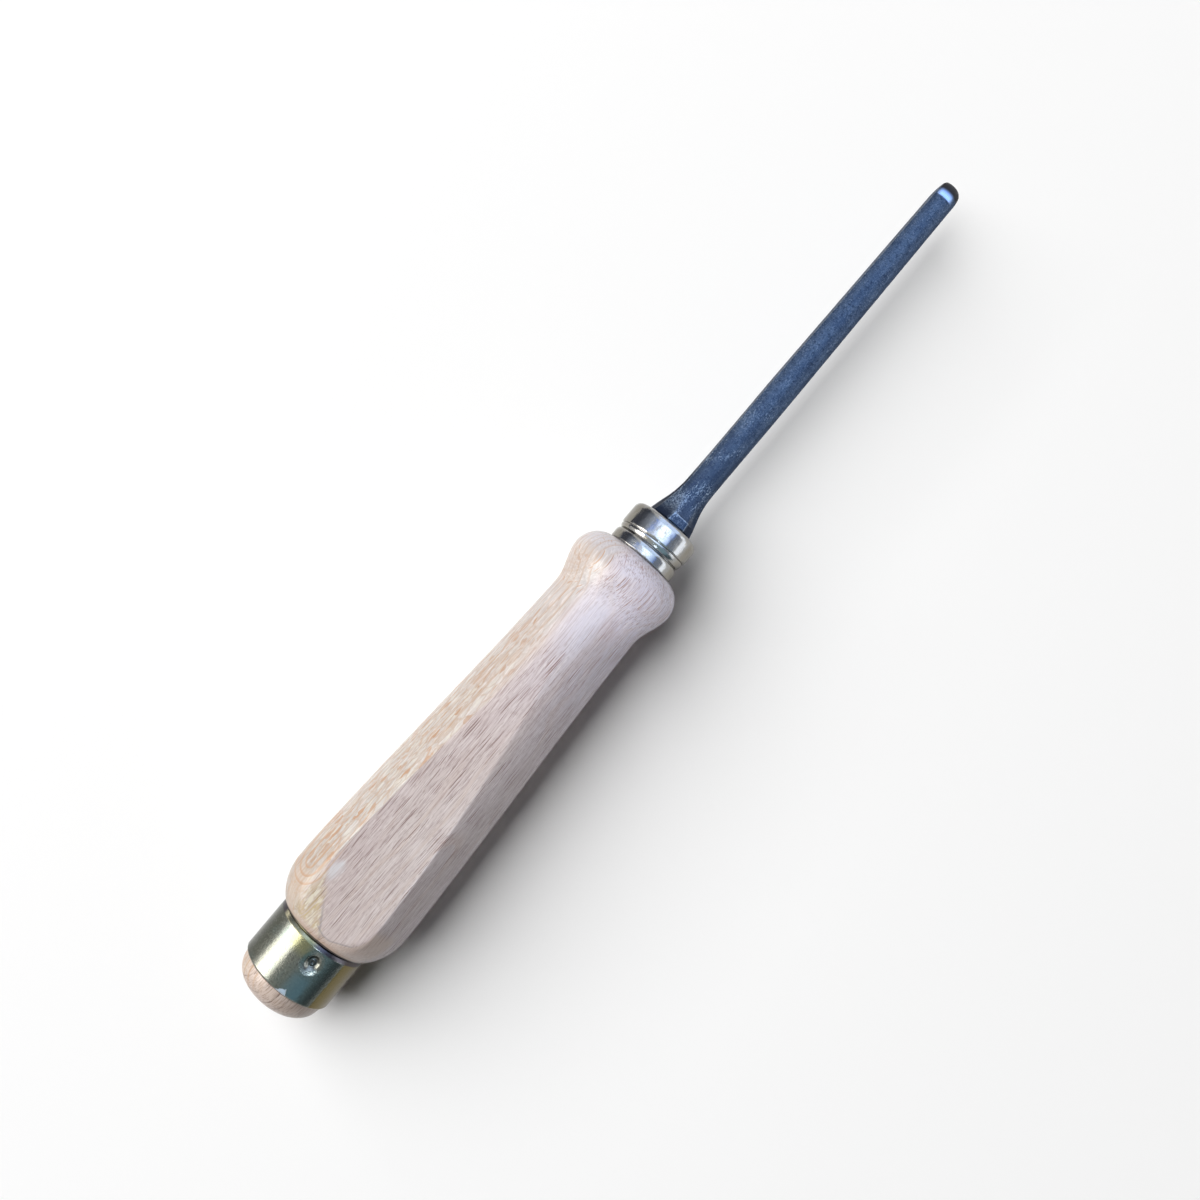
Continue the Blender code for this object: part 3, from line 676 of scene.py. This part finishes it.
# The dimple: a dish with a deeper prick and a small burr in its middle, struck through the wall
for point in hoop.data.vertices:
    along, up = unlaid(point.co)
    around = (math.atan2(-point.co.y, up) - DIMPLE_TURN) * HOOP_RADIUS
    away = math.hypot((along - (HOOP_FRONT - DIMPLE_BEHIND_FRONT)) / DISH_STRETCH, around)
    if away < DISH_RADIUS:
        dish = DISH_DEPTH * ease((DISH_RADIUS - away) / DISH_SLOPE)
        punch = PUNCH_DEPTH * ease((PUNCH_RADIUS - away) / PUNCH_SLOPE)
        burr = BURR_HEIGHT * ease(1.0 - abs(away - BURR_RADIUS) / BURR_WIDTH)
        move = Vector((0.0, -point.co.y, -up)).normalized() * (dish + punch - burr)
        point.co.y += move.y
        point.co.z += move.z
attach(hoop, "root")
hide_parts("striking_hoop")


# ------------------------------------------------------------
# Blade: one forging of tool steel, from the square tang in the wood through an octagonal bolster
# and a flared shank to a shallow gouge, blued all over, its back ground to a bevel at the edge.

def blued_material():
    made, place = start_material("blued_steel")
    x = place.axes()[0]
    scale = place.stretch((0.0042, 0.0024, 0.0024)).noise(4.0, 0.62)
    mottle = place.stretch((0.001, 0.0008, 0.0008)).noise(3.0, 0.6)
    grind = place.stretch((0.00022, 0.003, 0.003)).noise(2.0, 0.6)
    grit = place.stretch((0.00034, 0.00034, 0.00034)).noise(2.0, 0.7)
    colour = scale.step(0.36, 0.66).mix((0.034, 0.053, 0.092), (0.056, 0.082, 0.13))
    colour = colour.tint(mottle.step(0.5, 0.68), (0.019, 0.031, 0.056), 0.75)
    colour = colour.tint(grind.step(0.52, 0.72), (0.085, 0.112, 0.16), 0.55)
    colour = colour.tint(grit.step(0.54, 0.72), (0.125, 0.155, 0.205), 0.7)
    colour = colour.tint(grit.step(0.45, 0.3), (0.012, 0.02, 0.038), 0.7)
    colour = colour.tint(x.step(0.062, 0.036), (0.018, 0.028, 0.054), 0.45)
    # Pale scuffs and rubbed specks, more of them toward the bolster
    handled = x.step(0.075, 0.02) * 0.75 + 0.25
    cloud = place.stretch((0.006, 0.003, 0.003)).noise(3.0, 0.6)
    speck = place.stretch((0.00055, 0.00035, 0.00035)).noise(2.0, 0.7)
    scuff_and_sheen = cloud.step(0.44, 0.62) * speck.step(0.5, 0.64) * handled
    scratch = place.stretch((0.0042, 0.00012, 0.0004), (0.0, 0.0, 0.5)).noise(2.0)
    scratch = scratch.step(0.68, 0.76) * handled * handled
    rub, shade = place.attribute("rub"), place.attribute("shade")
    ragged = (rub * (speck * 2.6 - 0.4)).step(0.35, 0.75)
    worn = (scuff_and_sheen * 0.75 + scratch * 0.6 + ragged * 0.7).least(1.0)
    colour = colour.tint(worn, (0.33, 0.4, 0.48), 0.75)
    # Painted shade on the facets beside the bolster and along the near side
    colour = colour.tint(shade, (0.008, 0.012, 0.024), 0.85)
    # The edge: a strip ground bright, its blue partly a painted reflection, then a rounded nose painted
    # dark, a painted dark reflection
    bright, nose = place.attribute("bright"), place.attribute("nose")
    colour = colour.tint(nose, (0.016, 0.015, 0.018)).tint(bright, (0.36, 0.5, 0.8), 0.85)
    rough = 0.5 - x.step(0.0275, 0.0245) * 0.14 + (scale - 0.5) * 0.2
    rough = rough - worn * 0.05 - bright * 0.27 + shade * 0.35
    height = scale * 0.5 + mottle * 0.4 + grind * 0.14 + grit * 0.2
    finish_material(place, colour, rough, height, 0.00005, {"Metallic": 0.9})
    return made


BLUED = blued_material()
SEAT, BLADE_LENGTH, BLADE_ROLL = 0.1556, 0.1098, math.radians(14.0)
BOLSTER_WIDTH, BOLSTER_LENGTH, FLARE_LENGTH = 0.0118, 0.0022, 0.0115
ROOT_WIDTH, ROOT_THICKNESS, SEAT_EASE = 0.0081, 0.0056, 0.985
FLARE_CURVE_ASIDE, FLARE_CURVE_UP = 1.6, 2.2
EDGE_WIDTH, EDGE_NARROWING, BEVEL_LENGTH = 0.006, 0.83, 0.005
BACK_HEIGHT, WEB_THICKNESS = 0.0019, 0.0024
BACK_SWEEP, FLUTE_SWEEP = 0.0042, 0.0046
FLUTE_START, FLUTE_FULL = 0.016, 0.048
TANG_LENGTH, TANG_ROOT_WIDTH, TANG_TIP_WIDTH = 0.062, 0.0058, 0.0024
BEVEL_START = BLADE_LENGTH - BEVEL_LENGTH
BOLSTER_CORNER, SHANK_CORNER, CORNER_SOFTENING = 0.0002, 0.0013, 0.006
EDGE_SHIFT, EDGE_ROUNDING, EDGE_THICKNESS = -0.00032, 0.1, 0.0001
ARRIS_RUB, CREASE_RUB, RUB_FROM = 0.00022, 0.0002, 0.006
OCTAGON_TAN = math.tan(math.radians(22.5))
SECTION_STEPS, SIDE_STEPS, CREASE_ANGLE = 48, 4, math.radians(30.0)


def octagon_half(width, height, corner=0.0):
    # The upper five sides of an octagon from side to side, its corners eased over a width
    half = width / 2
    facet = half * OCTAGON_TAN
    rise = height / width
    marks = [(-half, facet), (-facet, half), (facet, half), (half, facet)]
    slant = math.dist(marks[0], marks[1])
    whole = 2 * slant + 2 * facet

    def at(s):
        if s < 0.0:
            return Vector((-half, facet + s))
        if s > whole:
            return Vector((half, facet - (s - whole)))
        if s < slant:
            return Vector(marks[0]).lerp(Vector(marks[1]), s / slant)
        if s < slant + 2 * facet:
            return Vector((-facet + s - slant, half))
        return Vector(marks[2]).lerp(Vector(marks[3]), (s - slant - 2 * facet) / slant)

    ring = []
    for t in shares(SECTION_STEPS):
        s = whole * t
        point = (at(s - corner) + at(s) * 2.0 + at(s + corner)) / 4.0
        ring.append((point.x, rise * point.y))
    return ring


def arc_half(half, radius, peak):
    # An arc from side to side, never quite a half circle
    safe = max(radius, half * 1.02)
    reach = math.asin(half / safe)
    turns = [blend(-reach, reach, t) for t in shares(SECTION_STEPS)]
    return [(safe * math.sin(a), peak - safe * (1.0 - math.cos(a))) for a in turns]


def mixed(first, second, t):
    return [(blend(p[0], q[0], t), blend(p[1], q[1], t)) for p, q in zip(first, second)]


def under(ring):
    return [(u, -v) for u, v in ring]


def blade_width(along):
    flare = max(0.0, 1.0 - along / FLARE_LENGTH) ** FLARE_CURVE_ASIDE
    return blend(ROOT_WIDTH, EDGE_WIDTH, along / BEVEL_START) + (BOLSTER_WIDTH - ROOT_WIDTH) * flare


def blade_height(along):
    flare = max(0.0, (FLARE_LENGTH - along) / (FLARE_LENGTH - BOLSTER_LENGTH))
    flare = min(1.0, flare) ** FLARE_CURVE_UP
    t = max(0.0, (along - FLARE_LENGTH) / (BEVEL_START - FLARE_LENGTH))
    return blend(ROOT_THICKNESS, 2 * BACK_HEIGHT, t) + (BOLSTER_WIDTH - ROOT_THICKNESS) * flare


def blade_sections():
    # Each is a distance from the seat, then the back and the underside from side to side
    made = []
    for t in shares(6):
        width = blend(TANG_TIP_WIDTH, TANG_ROOT_WIDTH, t)
        top = octagon_half(width, width)
        made.append((-TANG_LENGTH * (1.0 - t), top, under(top)))
    lifts = [0.0, 0.0001, 0.0007, 0.0014, 0.002, 0.00212, 0.0022, 0.00228, 0.0024]
    lifts += [blend(0.0026, FLARE_LENGTH, t) for t in shares(28)]
    for along in lifts:
        width, height = blade_width(along), blade_height(along)
        if along == 0.0:
            width, height = SEAT_EASE * width, SEAT_EASE * height
        softening = ease((along - BOLSTER_LENGTH) / CORNER_SOFTENING)
        top = octagon_half(width, height, blend(BOLSTER_CORNER, SHANK_CORNER, softening))
        made.append((along, top, under(top)))
    for t in shares(120, 1):
        along = blend(FLARE_LENGTH, BEVEL_START, t)
        half, peak = blade_width(along) / 2, blade_height(along) / 2
        shank = octagon_half(2 * half, 2 * peak, SHANK_CORNER)
        back = arc_half(half, BACK_SWEEP * half / (EDGE_WIDTH / 2), peak)
        flute = ease((along - FLUTE_START) / (FLUTE_FULL - FLUTE_START))
        hollow = arc_half(half, FLUTE_SWEEP * half / (EDGE_WIDTH / 2), peak - WEB_THICKNESS)
        made.append((along, mixed(shank, back, ease(t * 3.0)), mixed(under(shank), hollow, flute)))
    _, last_top, last_under = made[-1]
    for t in shares(30, 1):
        narrow = blend(1.0, EDGE_NARROWING, t * t) * (1.0 - EDGE_ROUNDING * ease((t - 0.8) / 0.2))
        shift = EDGE_SHIFT * t
        fall = 0.5 * t + 0.5 * t ** 3
        top = [
            (p[0] * narrow + shift, blend(p[1], q[1] + EDGE_THICKNESS, fall))
            for p, q in zip(last_top, last_under)]
        bottom = [(u * narrow + shift, v) for u, v in last_under]
        made.append((blend(BEVEL_START, BLADE_LENGTH - 0.000002, t), top, bottom))
    return made


def laid(station, side, up):
    # A point at a distance from the butt, to the side and above the axis, in the tool's place
    return (BUTT_X + station * RISE_COS - up * RISE_SIN, side,
            BUTT_Z + station * RISE_SIN + up * RISE_COS)


def back_wear_and_shade(along, u, half):
    # How much a point of the back is rubbed, ground bright, painted dark at the nose, and given painted
    # shade
    facet = 0.5 * blade_width(max(0.0, along)) * OCTAGON_TAN
    out = u / half
    arris = math.exp(-((abs(u) - facet) / ARRIS_RUB) ** 2) * (0.0 <= along <= BOLSTER_LENGTH)
    crease = math.exp(-((along - BOLSTER_LENGTH) / CREASE_RUB) ** 2) * ease(2.2 - abs(u) / facet)
    edge = 0.55 * math.exp(-((half - abs(u)) / ARRIS_RUB) ** 2) * (along > RUB_FROM)
    smear = 0.62 * ease((out + 0.1) * 2.0) * ease(along / 0.002) * ease((0.0125 - along) / 0.006)
    bevel = (along - BEVEL_START) / BEVEL_LENGTH
    bright = ease(bevel * 12.0) * ease((0.56 - bevel) * 2.6)
    bright *= ease((out + 0.64) * 2.4) * ease((1.0 - out) * 4.0)
    nose = ease((bevel - 0.3) * 5.0)
    beside = ease((abs(out) - 0.42) * 8.0) * ease((0.0034 - along) / 0.0014)
    low = ease((-out - 0.5) * 4.0) * ease((0.015 - along) / 0.01)
    shade = max(0.9 * beside, 0.75 * low, 0.3 * ease((-out - 0.55) * 4.0))
    return max(arris, crease, edge, smear), bright, nose, shade


def forged(name, sections):
    shape = bmesh.new()
    layers = [shape.verts.layers.float.new(kind) for kind in ("rub", "bright", "nose", "shade")]
    cos_roll, sin_roll = math.cos(BLADE_ROLL), math.sin(BLADE_ROLL)
    steps = shares(SIDE_STEPS)[1:-1]
    for along, top, bottom in sections:
        down = [mixed(top[-1:], bottom[-1:], t)[0] for t in steps]
        back_up = [mixed(bottom[:1], top[:1], t)[0] for t in steps]
        for i, (u, v) in enumerate(top + down + bottom[::-1] + back_up):
            side, up = u * cos_roll - v * sin_roll, v * cos_roll + u * sin_roll
            point = shape.verts.new(laid(SEAT + along, side, up))
            if i <= SECTION_STEPS:
                wear = back_wear_and_shade(along, u, top[-1][0])
            else:
                # The far side face by the bolster gets painted shade
                far_side = i < SECTION_STEPS + SIDE_STEPS
                wear = 0.3 * (along > RUB_FROM), 0.0, 0.0, far_side * ease((0.017 - along) / 0.006)
            for layer, amount in zip(layers, wear):
                point[layer] = amount
    shape.verts.ensure_lookup_table()
    count = 2 * (SECTION_STEPS + 1) + 2 * (SIDE_STEPS - 1)
    rings = [shape.verts[k * count:(k + 1) * count] for k in range(len(sections))]
    for low, high in zip(rings, rings[1:]):
        for i in range(count):
            j = (i + 1) % count
            shape.faces.new((low[i], low[j], high[j], high[i]))
    shape.faces.new(rings[0])
    shape.faces.new(rings[-1])
    bmesh.ops.recalc_face_normals(shape, faces=shape.faces[:])
    for face in shape.faces:
        face.smooth = True
    for edge in shape.edges:
        if len(edge.link_faces) == 2 and edge.calc_face_angle(0.0) > CREASE_ANGLE:
            edge.smooth = False
    mesh = bpy.data.meshes.new(name)
    shape.to_mesh(mesh)
    shape.free()
    return placed(name, mesh)


blade = forged("gouge_blade", blade_sections())
blade.data.materials.append(BLUED)
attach(blade, "root")
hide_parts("blade")


# ------------------------------------------------------------
# Stage: a white floor, a soft lamp over the far side of the tool and two small ones for its near
# side, cards that give the bright metal something to mirror, and the camera straight above.

def level_sheet(x0, x1, y0, y1, z):
    return [(x0, y0, z), (x1, y0, z), (x1, y1, z), (x0, y1, z)]


def upright_sheet(x0, x1, y, z0, z1):
    return [(x0, y, z0), (x1, y, z0), (x1, y, z1), (x0, y, z1)]


FLOOR_HALF = 3.0
floor_mesh = bpy.data.meshes.new("floor")
floor_mesh.from_pydata(
    level_sheet(-FLOOR_HALF, FLOOR_HALF, -FLOOR_HALF, FLOOR_HALF, 0.0), [], [(0, 1, 2, 3)])
floor = placed("floor", floor_mesh)
floor_paint, floor_place = start_material("white_floor")
floor_shade = floor_place.add("ShaderNodeBsdfDiffuse", None, {"Color": (0.98, 0.98, 0.98, 1.0)})
# Far from the tool the camera sees plain white, so the floor has no horizon
floor_x, floor_y, _ = floor_place.axes()
ray = floor_place.add("ShaderNodeLightPath", None, None, "Is Camera Ray")
beyond = ((floor_x * floor_x + floor_y * floor_y) ** 0.5).step(0.28, 0.75) * ray
white = floor_place.add("ShaderNodeEmission", None, {"Color": (1.0, 1.0, 1.0, 1.0), "Strength": 1.0})
to_surface(beyond.add("ShaderNodeMixShader", None, {0: beyond, 1: floor_shade, 2: white}))
floor_mesh.materials.append(floor_paint)


def toward(azimuth, elevation, distance):
    a, e = math.radians(azimuth), math.radians(elevation)
    return Vector((math.cos(a) * math.cos(e), math.sin(a) * math.cos(e), math.sin(e))) * distance


def facing(spot, target=(0.0, 0.0, 0.0)):
    # A frame at the spot whose own -Z looks at the target
    look = (Vector(spot) - Vector(target)).normalized()
    return Matrix.Translation(spot) @ look.to_track_quat("Z", "Y").to_matrix().to_4x4()


def lamp(name, azimuth, elevation, angle, level, colour,
         distance=4.0, target=(0.0, 0.0, 0.0), spread=180.0):
    # A square panel, given by its angles as the target sees it and by how bright it looks
    light = bpy.data.lights.new(name, "AREA")
    light.shape = "RECTANGLE"
    light.size = light.size_y = 2 * distance * math.tan(math.radians(angle / 2))
    light.spread = math.radians(spread)
    light.energy = level * math.pi * light.size * light.size_y
    light.color = colour
    made = placed(name, light)
    made.matrix_world = facing(Vector(target) + toward(azimuth, elevation, distance), target)
    made.visible_camera = False
    made.visible_glossy = False
    return made


def card(name, corners, colour, rim=None, middle=0.0, reach=1.0, axis=1):
    # A glowing sheet that only bright metal sees; its colour may fade to a rim along an axis
    mesh = bpy.data.meshes.new(name)
    mesh.from_pydata(corners, [], [(0, 1, 2, 3)])
    made = placed(name, mesh)
    paint, spot = start_material(name)
    shine = (*colour, 1.0)
    if rim:
        off = spot.math("ABSOLUTE", spot.axes()[axis] - middle)
        shine = off.step(0.0, reach).mix(colour, rim)
    to_surface(spot.add("ShaderNodeEmission", None, {"Color": shine, "Strength": 1.0}))
    mesh.materials.append(paint)
    for ray in ("camera", "diffuse", "transmission", "shadow", "volume_scatter"):
        setattr(made, "visible_" + ray, False)


lamp("main", 94.0, 48.0, 60.0, 4.33, (1.0, 1.0, 1.0))
fill = lamp("fill", -60.0, 24.0, 18.0, 0.63, (0.92, 0.955, 1.0),
            distance=0.3, target=(-0.005, -0.01, 0.02), spread=44.0)
fore = lamp("fore", -108.0, 60.0, 3.0, 1.15, (1.0, 0.98, 0.97),
            distance=0.16, target=(0.0002, -0.0045, 0.024), spread=8.5)
# The small lamps are flagged off the floor, so that they don't thin the main one's shadow
tool = bpy.data.collections.new("tool")
for piece in (handle, ferrule, hoop, blade):
    tool.objects.link(piece)
for small_lamp in (fill, fore):
    small_lamp.light_linking.receiver_collection = tool


def panel(azimuth, elevation, width, height):
    # Corners of a card given by its angles as the tool sees it
    distance = 3.0
    at = facing(toward(azimuth, elevation, distance))
    w, h = (distance * math.tan(math.radians(angle / 2)) for angle in (width, height))
    return [at @ Vector(corner) for corner in level_sheet(-w, w, -h, h, 0.0)]


card("bright_window", panel(119.0, 37.0, 34.0, 42.0), (9.0, 8.8, 8.4))
card("bright_sky", panel(-36.0, 70.0, 84.0, 50.0), (1.26, 1.7, 2.32))
card("bright_cap", level_sheet(0.028, 0.06, -0.155, 0.15, 0.2),
     (4.5, 5.2, 6.3), rim=(0.22, 0.5, 1.55), middle=-0.008, reach=0.13)
card("bright_spot", level_sheet(-0.112, -0.09, -0.05, -0.022, 0.154), (15.0, 18.0, 21.0))
card("bright_near", panel(-76.0, 13.0, 64.0, 19.0), (2.3, 2.45, 2.7))
card("dark_fore", panel(-80.0, 41.0, 62.0, 30.0), (0.34, 0.39, 0.5))
card("bright_front", panel(-5.0, 34.0, 60.0, 44.0), (1.5, 1.9, 2.7))
card("dark_above", level_sheet(-1.6, -0.1, -1.2, 0.62, 1.0),
     (0.66, 0.7, 0.68), rim=(0.36, 0.56, 0.68), middle=0.3, reach=1.0)
card("dark_near", upright_sheet(-1.6, -0.22, -1.2, 0.0, 1.0),
     (0.08, 0.12, 0.14), rim=(0.36, 0.56, 0.68), middle=0.3, reach=0.7, axis=2)
card("dark_far", upright_sheet(-0.1, 0.9, 0.9, 0.0, 2.2),
     (0.07, 0.08, 0.11), rim=(0.85, 0.98, 1.22), middle=0.1, reach=1.3, axis=2)
card("dark_low", level_sheet(-0.05, 0.9, 0.075, 0.9, 0.0006), (0.1, 0.11, 0.15))

world = bpy.data.worlds.new("studio")
bpy.context.scene.world = world
world.use_nodes = True
sky_tree = world.node_tree
paths = Wire(sky_tree).add("ShaderNodeLightPath", None, None, "Is Camera Ray")
seen = (paths + paths.also("Is Glossy Ray") + paths.also("Is Transmission Ray")).least(1.0)
room = seen.mix((0.036, 0.036, 0.036), (1.0, 1.0, 1.0))
sky_tree.links.new(room.socket, sky_tree.nodes["Background"].inputs["Color"])

camera_data = bpy.data.cameras.new("camera")
camera = placed("camera", camera_data)
CAMERA_X, CAMERA_HEIGHT, CAMERA_TURN = -0.0178, 0.2973, math.radians(49.7194)
right = Vector((math.cos(CAMERA_TURN), -math.sin(CAMERA_TURN), 0.0))
up = Vector((math.sin(CAMERA_TURN), math.cos(CAMERA_TURN), 0.0))
camera.matrix_world = Matrix((
    (right.x, up.x, 0.0, CAMERA_X),
    (right.y, up.y, 0.0, 0.0),
    (0.0, 0.0, 1.0, CAMERA_HEIGHT),
    (0.0, 0.0, 0.0, 1.0)))
camera_data.sensor_width = 36.0
camera_data.lens = 33.9
camera_data.shift_x = 0.0301
camera_data.shift_y = 0.04
camera_data.clip_start = 0.01
bpy.context.scene.camera = camera
bpy.context.scene.view_settings.view_transform = "Standard"
